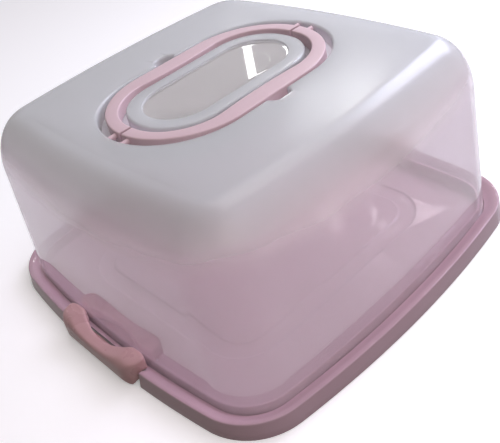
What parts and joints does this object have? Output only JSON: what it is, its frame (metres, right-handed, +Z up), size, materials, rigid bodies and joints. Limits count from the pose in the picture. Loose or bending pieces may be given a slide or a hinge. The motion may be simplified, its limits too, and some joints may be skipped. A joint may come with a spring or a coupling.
{
  "type": "cake carrier",
  "caption": "Square cake carrier: tray with rim, translucent domed lid that tilts open, folding carry handles sunk in the lid's top, and a clip at each end.",
  "frame": {"origin": "centre of the tray's underside, on the surface that it stands on", "axes": "+Z up; X along the handle ring, with the opening clip at -X and the hinge clip at +X; -Y is the front"},
  "size_m": [0.3076, 0.3, 0.1395],
  "materials": {
    "tray_plastic": "moulded, smooth",
    "lid_plastic": "clear moulded plastic, frosted above the walls",
    "handle_plastic": "moulded, satin",
    "clip_plastic": "moulded, smooth"
  },
  "bodies": {
    "tray": {"base_tray": "tray_plastic"},
    "lid": {"lid_dome": "lid_plastic"},
    "front_grip": {"front_handle": "handle_plastic"},
    "back_grip": {"back_handle": "handle_plastic"},
    "left_catch": {"left_clip": "clip_plastic"},
    "right_catch": {"right_clip": "clip_plastic"}
  },
  "joints": [
    {"name": "lid_hinge", "type": "hinge", "parent": "tray", "child": "lid", "pos_m": [0.1476, 0, 0.007], "axis": [0, 1, 0], "range_deg": [0, 90]},
    {"name": "right_clip_hinge", "type": "hinge", "parent": "tray", "child": "right_catch", "pos_m": [0.1476, 0, 0.007], "axis": [0, 1, 0], "range_deg": [0, 90]},
    {"name": "left_clip_hinge", "type": "hinge", "parent": "tray", "child": "left_catch", "pos_m": [-0.1476, 0, 0.007], "axis": [0, -1, 0], "range_deg": [0, 90]},
    {"name": "front_handle_hinge", "type": "hinge", "parent": "lid", "child": "front_grip", "pos_m": [0, -0.0065, 0.1361], "axis": [-1, 0, 0], "range_deg": [0, 90]},
    {"name": "back_handle_hinge", "type": "hinge", "parent": "lid", "child": "back_grip", "pos_m": [0, 0.0065, 0.1361], "axis": [1, 0, 0], "range_deg": [0, 90]}
  ],
  "couplings": [
    {"joint": "right_clip_hinge", "follows": "lid_hinge", "ratio": 1}
  ]
}
